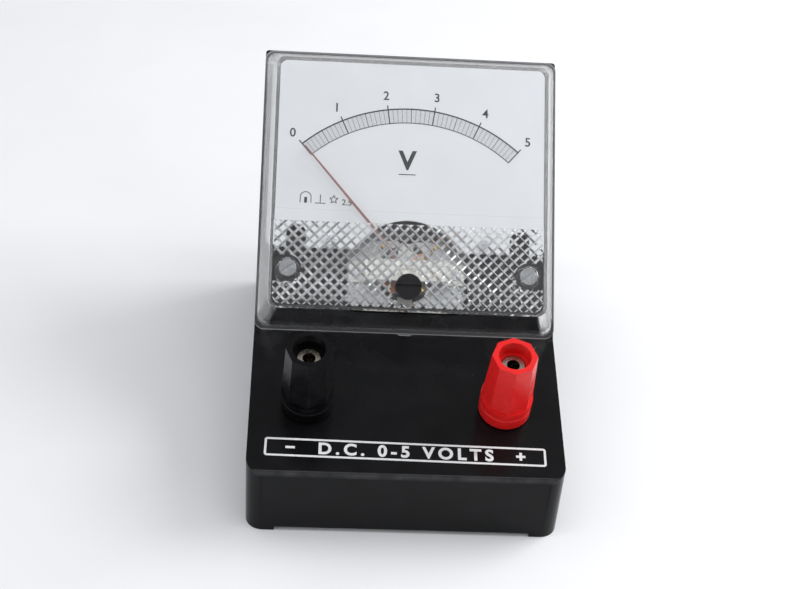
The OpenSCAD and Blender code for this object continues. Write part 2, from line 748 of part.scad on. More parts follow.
// Plate behind the pole pieces with an ear on each side
module movement_frame() color([0.62, 0.63, 0.64]) at_pivot() translate([0, 0, frame_rear])
    linear_extrude(frame_t) difference() {
        union() {
            rounded_rect(-pole_w / 2, pole_w / 2, -pole_half_h, magnet_low + magnet_h, 2);
            translate([0, movement_boss_v - pivot_v]) {
                at_sides(frame_pitch / 2) circle(ear_r);
                translate([-frame_pitch / 2, -ear_r]) square([frame_pitch, 2 * ear_r]);
            }
        }
        circle(pole_bore_d / 2);
        translate([0, movement_boss_v - pivot_v]) at_sides(frame_pitch / 2) circle(screw_r + 2 * play);
        at_sides(bridge_screw_x) circle(bridge_screw_r + play);
    }

module magnet() color([0.3, 0.3, 0.31]) at_pivot()
    block([-magnet_w / 2, magnet_w / 2], [magnet_low, magnet_low + magnet_h], [pole_rear, pole_front]);

// Two iron blocks with a leg beside the magnet, bored together for the core and coil
module pole_outline() difference() {
    for (side = [0, 1]) mirror([side, 0]) {
        translate([pole_slot / 2, -pole_half_h]) square([(pole_w - pole_slot) / 2, 2 * pole_half_h]);
        translate([magnet_w / 2, 0]) square([(pole_w - magnet_w) / 2, magnet_low + magnet_h]);
    }
    circle(pole_bore_d / 2);
    at_sides(bridge_screw_x) circle(bridge_screw_r + play);
}

module pole_pieces() color(iron) at_pivot() translate([0, 0, pole_rear]) linear_extrude(core_len)
    pole_outline();

module core() color(iron) at_pivot() disc(core_r, pole_rear, pole_front);

// Brass keys that hold the core from the slots between the pole pieces
module core_keys() color(brass) at_pivot() difference() {
    for (side = [-1, 1]) translate([0, side * (core_r + pole_half_h) / 2, (pole_front + pole_rear) / 2])
        cube([pole_slot, pole_half_h - core_r, key_len], center = true);
    disc(core_r + slip, pole_rear, pole_front);
}

// Strap on two legs with feet, from the foot's face at z = 0 to the strap's outer face at z = high
module bridge(high) difference() {
    union() {
        block([-bridge_leg_x - bridge_t, bridge_leg_x + bridge_t], [-bridge_w / 2, bridge_w / 2],
            [high - bridge_t, high]);
        for (side = [0, 1]) mirror([side, 0, 0]) {
            block([bridge_leg_x, bridge_leg_x + bridge_t], [-bridge_w / 2, bridge_w / 2], [0, high]);
            block([bridge_leg_x, pole_w / 2], [-bridge_w / 2, bridge_w / 2], [0, bridge_t]);
        }
    }
    disc(jewel_r + slip, -1, high + 1);
    at_sides(bridge_screw_x) disc(bridge_screw_r + play, -1, bridge_t + 1);
}

module front_bridge() color(brass) at_pivot() translate([0, 0, pole_front]) bridge(bridge_top - pole_front);

// The rear bridge also carries the tag that holds the rear hairspring's outer end
module rear_bridge() color(brass) at_pivot() {
    translate([0, 0, frame_rear]) mirror([0, 0, 1]) bridge(frame_rear - rear_bridge_low);
    block([-tab_t, tab_t], [rear_tag_y, rear_tag_y + tab_t], [rear_bridge_low, rear_spring_high]);
    block([-tab_t, tab_t], [bridge_w / 2 - merge, rear_tag_y + tab_t], [rear_bridge_low, rear_bridge_over]);
}

module bridge_screw() pan_screw(bridge_screw_r, bridge_screw_len, small_head_r, small_head_h, small_slot);

module bridge_screws() color(steel) at_pivot() at_sides(bridge_screw_x) {
    translate([0, 0, pole_front + bridge_t]) bridge_screw();
    translate([0, 0, frame_rear - bridge_t]) rotate([180, 0, 0]) bridge_screw();
}

// Slotted screw with a conical cup in its inner end; z = 0 is that end
module jewel_screw(length, head_low) difference() {
    union() {
        disc(jewel_r, 0, length);
        disc(jewel_head_r, head_low, length);
    }
    translate([0, 0, -0.01]) cylinder(r1 = jewel_r * 0.63, r2 = 0, h = jewel_cup);
    block([-jewel_d, jewel_d], [-jewel_slot / 2, jewel_slot / 2], [length - jewel_slot, length + 1]);
}

module front_jewel_screw() color(brass) at_pivot() translate([0, 0, jewel_low])
    jewel_screw(lever_high + play + jewel_head_t - jewel_low, lever_high + play - jewel_low);

module rear_jewel_screw() color(brass) at_pivot() translate([0, 0, rear_bridge_over + jewel_reach])
    mirror([0, 0, 1]) jewel_screw(bridge_t + jewel_reach + jewel_head_t, bridge_t + jewel_reach);

module movement_screws() color(steel) on_panel(0, movement_boss_v) at_sides(frame_pitch / 2)
    translate([0, 0, frame_rear]) rotate([180, 0, 0]) self_tapper(frame_t + frame_screw_grip);

// Lever round the front jewel screw: fork below for the adjuster's pin, tab above for the hairspring
module zero_lever() color(brass) at_pivot() {
    translate([0, 0, lever_low]) linear_extrude(lever_high - lever_low) difference() {
        union() {
            circle(lever_r);
            translate([-lever_half_w, pin_y - fork_len]) square([2 * lever_half_w, -pin_y]);
            translate([-tab_t, 0]) square([2 * tab_t, tab_y + tab_t]);
        }
        circle(jewel_r + slip);
        translate([-fork_half_w, pin_y - fork_len - 1]) square([2 * fork_half_w, 2 * fork_len + 1]);
    }
    block([-tab_t, tab_t], [tab_y, tab_y + tab_t], [spring_low, lever_high]);
}

// Flat spiral of half rings about two centres, with a straight tail to what holds its outer end
module hairspring(tail_y) {
    half_pitch = spring_pitch / 2;
    for (k = [0 : 2 * spring_turns - 1])
        translate([0, k % 2 == 0 ? 0 : half_pitch, 0]) rotate([0, 0, k % 2 == 0 ? 90 : -90])
            rotate_extrude(angle = 180) translate([spring_r + k * half_pitch - spring_t / 2, 0])
                square([spring_t, spring_h]);
    block([-spring_t, spring_t], [spring_end_r - spring_t / 2, tail_y], [0, spring_h]);
}

module front_hairspring() color(bronze) at_pivot() translate([0, 0, spring_low]) hairspring(tab_y);

module rear_hairspring() color(bronze) at_pivot() translate([0, 0, rear_spring_high - spring_h])
    hairspring(rear_tag_y);

// Rectangular loop round the core, seen along the coil's width, between two outlines
module coil_loop(inner_x, t, front, rear, width, r) rotate([90, 0, 0]) linear_extrude(width, center = true)
    difference() {
        rounded_rect(-inner_x - t, inner_x + t, rear, front, r + t);
        rounded_rect(-inner_x, inner_x, rear + t, front - t, r);
    }

module coil_former() color(steel) on_coil()
    coil_loop(coil_r, former_t, former_front, former_rear, coil_w, former_t);

module coil_winding() color(copper) on_coil()
    coil_loop(coil_r + former_t, winding_t, winding_front, winding_rear, coil_w - 2 * gap, 2 * former_t);

// Pivot on a small plate; z = 0 is the coil's end face and the tip points along +Z
module coil_pivot(tip) {
    disc(hub_r, 0, pivot_base_t);
    disc(staff_d / 2, 0, tip - point_len);
    translate([0, 0, tip - point_len]) cylinder(r1 = staff_d / 2, r2 = 0.05, h = point_len);
}

module coil_pivots() color(steel) on_coil() {
    translate([0, 0, winding_front]) coil_pivot(jewel_low + jewel_cup - tip_play - winding_front);
    translate([0, 0, winding_rear]) mirror([0, 0, 1])
        coil_pivot(winding_rear - (rear_bridge_over + jewel_reach - jewel_cup + tip_play));
}

module hairspring_collets() color(brass) on_coil() {
    ring(collet_r, staff_d / 2 + slip, hub_high, spring_low + spring_h);
    ring(collet_r, staff_d / 2 + slip, rear_spring_high - spring_h, winding_rear - pivot_base_t);
}

// Hub on the front pivot with arms for the weights, and a strip cranked up through the arch over the dial
module pointer() color([0.2, 0.13, 0.13]) on_coil() {
    translate([0, 0, hub_low]) linear_extrude(hub_high - hub_low) difference() {
        union() {
            circle(hub_r);
            translate([-pointer_w / 2, -arm_len]) square([pointer_w, crank_r + arm_len]);
            translate([-arm_len, -pointer_w / 2]) square([2 * arm_len, pointer_w]);
        }
        circle(staff_d / 2 + slip);
    }
    block([-pointer_w / 2, pointer_w / 2], [crank_r - crank_t, crank_r], [hub_low, pointer_high]);
    translate([0, 0, pointer_low]) linear_extrude(pointer_t) polygon([[-pointer_w / 2, crank_r - crank_t],
        [pointer_w / 2, crank_r - crank_t], [pointer_w / 4, pointer_len], [-pointer_w / 4, pointer_len]]);
}

// Wire weights wound on the pointer's three short arms
module arm_weight(turn, d, length) rotate([0, 0, turn])
    translate([0, weight_r, (hub_low + hub_high) / 2]) rotate([90, 0, 0]) difference() {
        cylinder(d = d, h = length, center = true);
        cube([pointer_w + slip, hub_high - hub_low + slip, length + 1], center = true);
    }

module balance_weights() color(brass) on_coil() {
    arm_weight(90, side_weight_d, side_weight_len);
    arm_weight(180, tail_weight_d, tail_weight_len);
    arm_weight(270, side_weight_d, side_weight_len);
}

// Carbon resistor with a straight wire at each end, soldered under the red terminal's tag
module series_resistor() color([0.62, 0.5, 0.36]) on_deck(0, terminal_d) translate([0, 0, resistor_n])
    rotate([0, 90, 0]) {
        disc(resistor_wire_r, resistor_in, resistor_out);
        disc(resistor_r * 0.9, resistor_low, resistor_low + resistor_len);
        disc(resistor_r, resistor_low + 0.5, resistor_low + resistor_end);
        disc(resistor_r, resistor_low + resistor_len - resistor_end, resistor_low + resistor_len - 0.5);
    }

// Smooth curve through a route's points
function spline(p, i, t) = let (a = p[max(i - 1, 0)], b = p[i], c = p[i + 1], d = p[min(i + 2, len(p) - 1)])
    0.5 * (2 * b + t * (c - a) + t * t * (2 * a - 5 * b + 4 * c - d) + t * t * t * (3 * b - a - 3 * c + d));

function smooth(p) = concat(
    [for (i = [0 : len(p) - 2], k = [0 : lead_steps - 1]) spline(p, i, k / lead_steps)],
    [p[len(p) - 1]]);

// Round wire of eight sides along a route
module wire(route, r) {
    path = smooth(route);
    last = len(path) - 1;
    sides = 8;
    rings = [for (i = [0 : last])
        let (t = unit(path[min(i + 1, last)] - path[max(i - 1, 0)]))
        let (u = unit(cross(t, [1, 0, 0])), w = cross(t, u))
        for (k = [0 : sides - 1]) path[i] + r * (cos(k * 360 / sides) * u + sin(k * 360 / sides) * w)];
    skin = [for (i = [0 : last - 1], k = [0 : sides - 1])
        let (a = i * sides + k, b = i * sides + (k + 1) % sides)
        each [[a, a + sides, b + sides], [a, b + sides, b]]];
    ends = [[for (k = [0 : sides - 1]) k], [for (k = [sides - 1 : -1 : 0]) last * sides + k]];
    polyhedron(rings, concat(skin, ends));
}

module red_lead() color(red_plastic) wire(red_route, lead_r);

module black_lead() color(black_plastic) wire(black_route, lead_r);

stand_housing();
bottom_plate();
bottom_screws();
black_collar();
red_collar();
black_stud();
red_stud();
black_insert();
red_insert();
black_cap();
red_cap();
terminal_bushes();
terminal_washers();
solder_tags();
terminal_nuts();
meter_cover();
cover_screws();
zero_adjuster();
adjuster_clip();
dial_plate();
dial_screws();
pointer_stops();
movement_frame();
magnet();
pole_pieces();
core();
core_keys();
front_bridge();
rear_bridge();
bridge_screws();
front_jewel_screw();
rear_jewel_screw();
movement_screws();
zero_lever();
front_hairspring();
rear_hairspring();
coil_former();
coil_winding();
coil_pivots();
hairspring_collets();
pointer();
balance_weights();
series_resistor();
red_lead();
black_lead();
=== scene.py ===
"""Desk-stand moving-coil voltmeter: finishes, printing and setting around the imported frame."""
import json
import math

import bmesh
import bpy
from mathutils import Matrix, Vector


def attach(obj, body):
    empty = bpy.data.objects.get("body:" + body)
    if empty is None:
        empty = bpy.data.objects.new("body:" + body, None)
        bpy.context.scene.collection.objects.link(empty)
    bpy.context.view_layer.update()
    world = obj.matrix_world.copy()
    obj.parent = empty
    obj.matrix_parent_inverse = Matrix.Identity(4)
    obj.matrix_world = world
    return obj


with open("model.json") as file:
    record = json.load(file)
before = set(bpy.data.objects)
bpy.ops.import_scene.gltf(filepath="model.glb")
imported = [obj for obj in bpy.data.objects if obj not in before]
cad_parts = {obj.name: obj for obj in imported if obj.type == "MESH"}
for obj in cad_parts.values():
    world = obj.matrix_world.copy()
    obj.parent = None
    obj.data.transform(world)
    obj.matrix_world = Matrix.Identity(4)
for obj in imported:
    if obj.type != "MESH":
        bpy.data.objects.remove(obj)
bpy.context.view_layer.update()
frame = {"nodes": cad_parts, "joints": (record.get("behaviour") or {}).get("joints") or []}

# Moulded stand and bottom plate
# The wedge-shaped box is one injection moulding in black plastic, closed below by a plate of the same.
# Its faces keep the fine grain of the tool, its sharp edges are broken, and the deck's front edge carries a
# painted highlight.
MM = 0.001
SAME_POINT = 0.001 * MM
FLAT_WITHIN = math.radians(0.4)
SHARP_OVER = math.radians(24)
NOISE_LOW = 0.3
NOISE_HIGH = 0.7


def add_node(material, kind, values):
    """A shader node with some of its sockets set."""
    node = material.node_tree.nodes.new(kind)
    for socket, value in values.items():
        node.inputs[socket].default_value = value
    return node


def join(material, output, socket):
    """Links two sockets."""
    material.node_tree.links.new(output, socket)


def new_finish(name, values):
    """A material and its main shader, with the values that are the same all over the surface."""
    material = bpy.data.materials.new(name)
    material.use_nodes = True
    shader = material.node_tree.nodes["Principled BSDF"]
    for socket, value in values.items():
        shader.inputs[socket].default_value = value
    return material, shader


def noise(material, size, detail=2.0, stretch=(1, 1, 1)):
    """Noise with features of a given size in metres, fixed to the piece."""
    place = add_node(material, "ShaderNodeTexCoord", {})
    stretched = add_node(material, "ShaderNodeMapping", {"Scale": stretch})
    texture = add_node(material, "ShaderNodeTexNoise", {"Scale": 1 / size, "Detail": detail})
    join(material, place.outputs["Object"], stretched.inputs["Vector"])
    join(material, stretched.outputs["Vector"], texture.inputs["Vector"])
    return texture.outputs["Fac"]


def tint_between(material, shader, factor, dark, light):
    """Colour that wanders between two tones."""
    ramp = add_node(material, "ShaderNodeValToRGB", {})
    low, high = ramp.color_ramp.elements
    low.position, high.position = NOISE_LOW, NOISE_HIGH
    low.color, high.color = (*dark, 1), (*light, 1)
    join(material, factor, ramp.inputs["Fac"])
    join(material, ramp.outputs["Color"], shader.inputs["Base Color"])


def spread_between(material, factor, low, high):
    """Noise spread evenly between two values."""
    spread = add_node(material, "ShaderNodeMapRange",
                      {"From Min": NOISE_LOW, "From Max": NOISE_HIGH, "To Min": low, "To Max": high})
    join(material, factor, spread.inputs["Value"])
    return spread.outputs["Result"]


def roughness_between(material, shader, factor, smooth, rough):
    """Roughness that wanders between two values."""
    spread = spread_between(material, factor, smooth, rough)
    join(material, spread, shader.inputs["Roughness"])


def raise_surface(material, shader, height, depth, strength):
    """Fine relief of a given depth in metres."""
    bump = add_node(material, "ShaderNodeBump", {"Strength": strength, "Distance": depth})
    join(material, height, bump.inputs["Height"])
    join(material, bump.outputs["Normal"], shader.inputs["Normal"])


def moulded_plastic(name, dark, light, smooth, rough, grain, specular):
    """Moulded plastic: slight clouding of the colour, handled patches, and the tool's grain."""
    material, shader = new_finish(name, {"IOR": 1.5, "Specular IOR Level": specular})
    tint_between(material, shader, noise(material, 9 * MM, 4), dark, light)
    roughness_between(material, shader, noise(material, 5 * MM, 5), smooth, rough)
    raise_surface(material, shader, noise(material, grain, 3), 0.03 * MM, 0.25)
    return material


def sum_node(material, operation, first, second=0.0):
    """Output of a sum on two sockets or numbers."""
    node = material.node_tree.nodes.new("ShaderNodeMath")
    node.operation = operation
    for socket, value in zip(node.inputs, (first, second)):
        if isinstance(value, float):
            socket.default_value = value
        else:
            join(material, value, socket)
    return node.outputs["Value"]


def rub_front_edge(material, edge, reach, patch_value):
    """Paints a patchy grey highlight on the deck's rounded front edge. The edge is given by its y and z."""
    shader = material.node_tree.nodes["Principled BSDF"]
    place = add_node(material, "ShaderNodeTexCoord", {})
    offset = add_node(material, "ShaderNodeMapping",
                      {"Scale": (0, 1, 1), "Location": (0, -edge[0], -edge[1])})
    away = add_node(material, "ShaderNodeVectorMath", {})
    away.operation = "LENGTH"
    near = add_node(material, "ShaderNodeMapRange", {"From Min": reach, "From Max": reach / 3})
    join(material, place.outputs["Object"], offset.inputs["Vector"])
    join(material, offset.outputs["Vector"], away.inputs["Vector"])
    join(material, away.outputs["Value"], near.inputs["Value"])
    # The grey laid on near the edge is a painted highlight, broken up in patches.
    highlight_mask = sum_node(material, "MULTIPLY", near.outputs["Result"], noise(material, 5 * MM, 4))
    blend = material.node_tree.nodes.new("ShaderNodeMix")
    blend.data_type = "RGBA"
    factor, plain, changed = blend.inputs[0], blend.inputs[6], blend.inputs[7]
    changed.default_value = (*patch_value, 1)
    join(material, highlight_mask, factor)
    join(material, shader.inputs["Base Color"].links[0].from_socket, plain)
    join(material, blend.outputs[2], shader.inputs["Base Color"])


def dress(finish, *names):
    """Gives CAD nodes a finish."""
    for name in names:
        mesh = frame["nodes"][name].data
        mesh.materials.clear()
        mesh.materials.append(finish)


def break_edges(radius, *names):
    """Rounds the sharp edges of CAD nodes a little, and keeps the shading of their flat faces even."""
    for name in names:
        piece = frame["nodes"][name]
        weld = piece.modifiers.new("joined_corners", "WELD")
        weld.merge_threshold = SAME_POINT
        flat = piece.modifiers.new("whole_faces", "DECIMATE")
        flat.decimate_type = "DISSOLVE"
        flat.angle_limit = FLAT_WITHIN
        edge = piece.modifiers.new("broken_edges", "BEVEL")
        edge.width = radius
        edge.segments = 3
        edge.limit_method = "ANGLE"
        edge.angle_limit = SHARP_OVER
        edge.harden_normals = True
        even = piece.modifiers.new("even_faces", "WEIGHTED_NORMAL")
        even.weight = 100
        even.keep_sharp = True


stand_black = moulded_plastic("stand_black", (0.0035, 0.0035, 0.004), (0.006, 0.006, 0.0066),
                              0.14, 0.22, 0.22 * MM, 0.16)
FRONT_EDGE = (-63.48 * MM, 24.5 * MM)
HIGHLIGHT_REACH = 1.5 * MM
# Painted highlight: the deck's rounded front edge is greyed in patches.
rub_front_edge(stand_black, FRONT_EDGE, HIGHLIGHT_REACH, (0.085, 0.085, 0.09))
dress(stand_black, "stand_housing", "bottom_plate")
break_edges(0.5 * MM, "stand_housing")
break_edges(0.2 * MM, "bottom_plate")

# Screws
# Zinc-plated steel screws hold the bottom plate, the cover, the dial and the movement. The same bright
# steel makes the washers, the adjuster's spring clip and the coil's pivots.


def plated_metal(name, dark, light, smooth, rough, stretch=(1, 1, 1)):
    """Bright metal with faint tool marks and a slightly cloudy plating."""
    material, shader = new_finish(name, {"Metallic": 1.0})
    tint_between(material, shader, noise(material, 2.5 * MM, 4), dark, light)
    roughness_between(material, shader, noise(material, 0.5 * MM, 3, stretch), smooth, rough)
    raise_surface(material, shader, noise(material, 0.25 * MM, 2, stretch), 0.01 * MM, 0.2)
    return material


zinc_steel = plated_metal("zinc_steel", (0.42, 0.43, 0.44), (0.55, 0.56, 0.58), 0.2, 0.36)
dress(zinc_steel, "bottom_screws", "cover_screws", "dial_screws", "bridge_screws", "movement_screws",
      "terminal_washers", "adjuster_clip", "coil_pivots")
break_edges(0.15 * MM, "bottom_screws", "cover_screws")

# Printed label on the deck
# A white screen-printed frame in front of the terminals holds the minus and plus signs and the range.
# The ink lies on the plastic as a thin film, and was printed a little askew.
INK_LIFT = 0.03 * MM
ACROSS = Vector((1, 0, 0))
joints = {joint["name"]: joint for joint in frame["joints"]}


def drawing_plane(origin, normal):
    """Plane on a face: x to the reader's right, y up the slope and z out of the face."""
    up = normal.cross(ACROSS)
    turn = Matrix((ACROSS, up, normal)).transposed().to_4x4()
    return Matrix.Translation(origin) @ turn


def polygon(shape, points):
    """Flat face through some points."""
    shape.faces.new([shape.verts.new((x, y, 0)) for x, y in points])


def stroke(shape, start, end, width):
    """Straight line with square ends."""
    start, end = Vector(start), Vector(end)
    side = (end - start).orthogonal().normalized() * width / 2
    polygon(shape, [start - side, end - side, end + side, start + side])


def arc(shape, centre, r_in, r_out, first, last, steps):
    """Band between two radii, with its angles measured clockwise from upright in degrees."""
    def at(r, step):
        angle = math.radians(first + (last - first) * step / steps)
        return centre[0] + r * math.sin(angle), centre[1] + r * math.cos(angle)

    for step in range(steps):
        polygon(shape, [at(r_in, step), at(r_in, step + 1), at(r_out, step + 1), at(r_out, step)])


def lettering(shape, text, centre, height, weight=0.0, spacing=1.0):
    """Plain upright letters of a given height round a point."""
    curve = bpy.data.curves.new("lettering", "FONT")
    curve.body = text
    curve.align_x = "CENTER"
    curve.offset = weight
    curve.space_character = spacing
    curve.resolution_u = 6
    words = bpy.data.objects.new("lettering", curve)
    bpy.context.scene.collection.objects.link(words)
    seen = words.evaluated_get(bpy.context.evaluated_depsgraph_get())
    mesh = bpy.data.meshes.new_from_object(seen)
    low = min(vertex.co.y for vertex in mesh.vertices)
    high = max(vertex.co.y for vertex in mesh.vertices)
    scale = height / (high - low)
    foot = Matrix.Translation((centre[0], centre[1] - height / 2 - low * scale, 0))
    mesh.transform(foot @ Matrix.Scale(scale, 4))
    shape.from_mesh(mesh)
    bpy.data.objects.remove(words)
    bpy.data.meshes.remove(mesh)


def printed(name, plane, shape, ink):
    """Turns a flat drawing into a film of ink on a face of the stand."""
    mesh = bpy.data.meshes.new(name)
    bmesh.ops.remove_doubles(shape, verts=shape.verts, dist=SAME_POINT)
    bmesh.ops.recalc_face_normals(shape, faces=shape.faces)
    shape.to_mesh(mesh)
    shape.free()
    if mesh.polygons[0].normal.z < 0:
        mesh.flip_normals()
    mesh.transform(plane @ Matrix.Translation((0, 0, INK_LIFT)))
    mesh.materials.append(ink)
    piece = bpy.data.objects.new(name, mesh)
    bpy.context.scene.collection.objects.link(piece)
    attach(piece, "stand")
    return piece


def printing_ink(name, dark, light):
    """Dry screen ink: matt, and a little uneven in cover."""
    material, shader = new_finish(name, {"Specular IOR Level": 0.3})
    tint_between(material, shader, noise(material, 0.6 * MM, 4), dark, light)
    roughness_between(material, shader, noise(material, 0.3 * MM, 2), 0.5, 0.7)
    return material


white_ink = printing_ink("white_ink", (0.58, 0.58, 0.59), (0.72, 0.72, 0.73))
black_axis, red_axis = joints["black_cap_turn"], joints["red_cap_turn"]
deck_out = Vector(black_axis["axis"])
terminal_line = (Vector(black_axis["pos_m"]) + Vector(red_axis["pos_m"])) / 2
LABEL_TILT = math.radians(-0.8)
deck = drawing_plane(terminal_line, deck_out) @ Matrix.Rotation(LABEL_TILT, 4, "Z")
LABEL_HALF_W = 43.4 * MM
LABEL_LOW = -20.5 * MM
LABEL_HIGH = -13.8 * MM
LABEL_LINE = 0.7 * MM
LABEL_CORNER = 0.9 * MM
CORNER_STEPS = 6
SIGN_X = 35.5 * MM
SIGN_SIZE = 2.9 * MM
SIGN_LINE = 0.85 * MM
LABEL_TEXT = 4.4 * MM
LABEL_WEIGHT = 0.035
LABEL_SPACING = 1.42
label_mid = (LABEL_LOW + LABEL_HIGH) / 2
line_end = LABEL_HALF_W - LABEL_CORNER

label = bmesh.new()
for side in (-1, 1):
    line_y = label_mid + side * (LABEL_HIGH - LABEL_LOW - LABEL_LINE) / 2
    line_x = side * (LABEL_HALF_W - LABEL_LINE / 2)
    stroke(label, (-line_end, line_y), (line_end, line_y), LABEL_LINE)
    stroke(label, (line_x, LABEL_LOW + LABEL_CORNER), (line_x, LABEL_HIGH - LABEL_CORNER), LABEL_LINE)
    sign_x = side * SIGN_X
    stroke(label, (sign_x - SIGN_SIZE / 2, label_mid), (sign_x + SIGN_SIZE / 2, label_mid), SIGN_LINE)
    plus_in, plus_out = label_mid + side * SIGN_LINE / 2, label_mid + side * SIGN_SIZE / 2
    stroke(label, (SIGN_X, plus_in), (SIGN_X, plus_out), SIGN_LINE)
for quarter, (sx, sy) in enumerate(((1, 1), (1, -1), (-1, -1), (-1, 1))):
    corner = (sx * line_end, label_mid + sy * ((LABEL_HIGH - LABEL_LOW) / 2 - LABEL_CORNER))
    arc(label, corner, LABEL_CORNER - LABEL_LINE, LABEL_CORNER,
        quarter * 90, quarter * 90 + 90, CORNER_STEPS)
lettering(label, "D.C. 0-5 VOLTS", (0, label_mid), LABEL_TEXT, LABEL_WEIGHT, LABEL_SPACING)
printed("deck_label", deck, label, white_ink)

# Screw terminals
# Each terminal is a tapered moulded cap with finger flats, on a collar of the same colour. A brass thread
# pressed into the cap turns on a plated brass stud, which is bored for a plug.
gloss_black = moulded_plastic("gloss_black", (0.0025, 0.0025, 0.0031), (0.0045, 0.0045, 0.0052),
                              0.2, 0.32, 0.6 * MM, 0.13)
gloss_red = moulded_plastic("gloss_red", (0.65, 0.011, 0.011), (0.75, 0.016, 0.015),
                            0.2, 0.34, 0.6 * MM, 0.3)
plated_brass = plated_metal("plated_brass", (0.4, 0.36, 0.3), (0.52, 0.47, 0.4), 0.16, 0.32)
plain_brass = plated_metal("plain_brass", (0.52, 0.36, 0.13), (0.66, 0.48, 0.2), 0.2, 0.38)
dress(gloss_black, "black_collar", "black_cap")
dress(gloss_red, "red_collar", "red_cap")
dress(plated_brass, "black_stud", "red_stud")
dress(plain_brass, "black_insert", "red_insert", "terminal_nuts")
break_edges(0.35 * MM, "black_cap", "red_cap")
break_edges(0.15 * MM, "black_collar", "red_collar", "black_stud", "red_stud", "terminal_nuts")

# Terminal fittings under the deck
# Turned fibre bushes seat the studs in the deck. Tinned tags are clamped under the nuts, and the wires
# are soldered to them.
fibre = moulded_plastic("fibre", (0.03, 0.022, 0.018), (0.05, 0.038, 0.03), 0.6, 0.8, 0.15 * MM, 0.2)
tinned = plated_metal("tinned", (0.5, 0.49, 0.46), (0.66, 0.65, 0.62), 0.25, 0.5)
dress(fibre, "terminal_bushes")
dress(tinned, "solder_tags")

# Clear cover
# One moulding of clear polystyrene with drafted walls, screwed to the panel through two columns. Crossed
# grooves in its lower part half hide the movement. It throws no shadow, so the light reaches the dial.
pivot = Vector(joints["pointer_swing"]["pos_m"])
panel_out = -Vector(joints["pointer_swing"]["axis"])
panel = drawing_plane(pivot, panel_out)
COVER_SIDES = 43.6 * MM
COVER_TOP = 67.2 * MM
COVER_FOOT = 1.65 * MM
GRAIN_FADE = 0.4 * MM
DUST_FADE = 0.1 * MM


def clear_moulding(name, colour, smooth, patch_value, grained):
    """Clear plastic, faintly rubbed, with grain on its outer walls and grain and dust on its foot."""
    material, shader = new_finish(name, {"Base Color": (*colour, 1), "IOR": 1.59,
                                         "Transmission Weight": 1.0})
    place = add_node(material, "ShaderNodeTexCoord", {})
    on_panel = add_node(material, "ShaderNodeMapping",
                        {"Location": pivot, "Rotation": panel.to_euler()})
    on_panel.vector_type = "TEXTURE"
    axes = add_node(material, "ShaderNodeSeparateXYZ", {})
    join(material, place.outputs["Object"], on_panel.inputs["Vector"])
    join(material, on_panel.outputs["Vector"], axes.inputs["Vector"])
    aside = sum_node(material, "ABSOLUTE", axes.outputs["X"])
    side = sum_node(material, "SUBTRACT", aside, COVER_SIDES)
    end = sum_node(material, "SUBTRACT", axes.outputs["Y"], COVER_TOP)
    foot = sum_node(material, "SUBTRACT", COVER_FOOT, axes.outputs["Z"])
    depth = sum_node(material, "MAXIMUM", sum_node(material, "MAXIMUM", side, end), foot)
    patches = spread_between(material, noise(material, 7 * MM, 5), smooth, patch_value)
    finish = add_node(material, "ShaderNodeMapRange", {"From Max": GRAIN_FADE, "To Max": grained})
    join(material, depth, finish.inputs["Value"])
    join(material, patches, finish.inputs["To Min"])
    join(material, finish.outputs["Result"], shader.inputs["Roughness"])
    dust = add_node(material, "ShaderNodeMapRange", {"From Max": DUST_FADE})
    join(material, foot, dust.inputs["Value"])
    join(material, dust.outputs["Result"], shader.inputs["Sheen Weight"])
    return material


clear_styrene = clear_moulding("clear_styrene", (0.985, 0.99, 0.995), 0.01, 0.06, 0.26)
dress(clear_styrene, "meter_cover")
cover = frame["nodes"]["meter_cover"]
cover.visible_shadow = False
cover.visible_diffuse = False

# Zero adjuster
# A slotted screw of black plastic, held in a hole of the cover by a spring clip behind it. Its pin stands
# off the middle and swings the zero lever.
adjuster_black = moulded_plastic("adjuster_black", (0.008, 0.008, 0.0085), (0.013, 0.013, 0.014),
                                 0.24, 0.36, 0.3 * MM, 0.3)
dress(adjuster_black, "zero_adjuster")
break_edges(0.15 * MM, "zero_adjuster")

# Dial plate
# A thin sheet of metal, stamped with an arch over the movement and two notches in its lower edge. It is
# sprayed matt white and held by small screws.


def sprayed_paint(name, dark, light, smooth, rough):
    """Matt paint with the faint orange peel of a spray gun."""
    material, shader = new_finish(name, {"Specular IOR Level": 0.35})
    tint_between(material, shader, noise(material, 14 * MM, 3), dark, light)
    roughness_between(material, shader, noise(material, 3 * MM, 3), smooth, rough)
    raise_surface(material, shader, noise(material, 0.5 * MM, 2), 0.01 * MM, 0.15)
    return material


dial_white = sprayed_paint("dial_white", (0.66, 0.67, 0.685), (0.69, 0.7, 0.715), 0.45, 0.6)
dress(dial_white, "dial_plate")

# Printing on the dial
# The scale is a shaded band between two arcs with a mark at each tenth of a volt. The figures stand upright
# outside it, and the usual signs for the kind of movement and its use are printed small at the lower left.
DIAL_LEVEL = 6.2 * MM
SCALE_HALF = 41
SCALE_STEPS = 2 * SCALE_HALF
SCALE_IN = 49.6 * MM
SCALE_OUT = 54.4 * MM
OUTER_LINE = (SCALE_OUT - 0.25 * MM, SCALE_OUT + 0.2 * MM)
INNER_LINE = (SCALE_IN - 0.1 * MM, SCALE_IN + 0.15 * MM)
TENTH_LINE = 0.11 * MM
HALF_LINE = 0.2 * MM
VOLT_LINE = 0.36 * MM
VOLT_RISE = 1.5 * MM
FIGURE_R = 59.3 * MM
FIGURE_H = 3.0 * MM
FIGURE_WEIGHT = 0.012
FULL_SCALE = 5
TENTHS = 10 * FULL_SCALE
dial_face = drawing_plane(pivot + DIAL_LEVEL * panel_out, panel_out)
centre = (0, 0)


def on_scale(r, tenths):
    """Point at a radius and a reading."""
    angle = math.radians(SCALE_HALF * (2 * tenths / TENTHS - 1))
    return r * math.sin(angle), r * math.cos(angle)


black_ink = printing_ink("black_ink", (0.016, 0.016, 0.018), (0.03, 0.03, 0.033))
grey_ink = printing_ink("grey_ink", (0.52, 0.53, 0.54), (0.6, 0.61, 0.62))

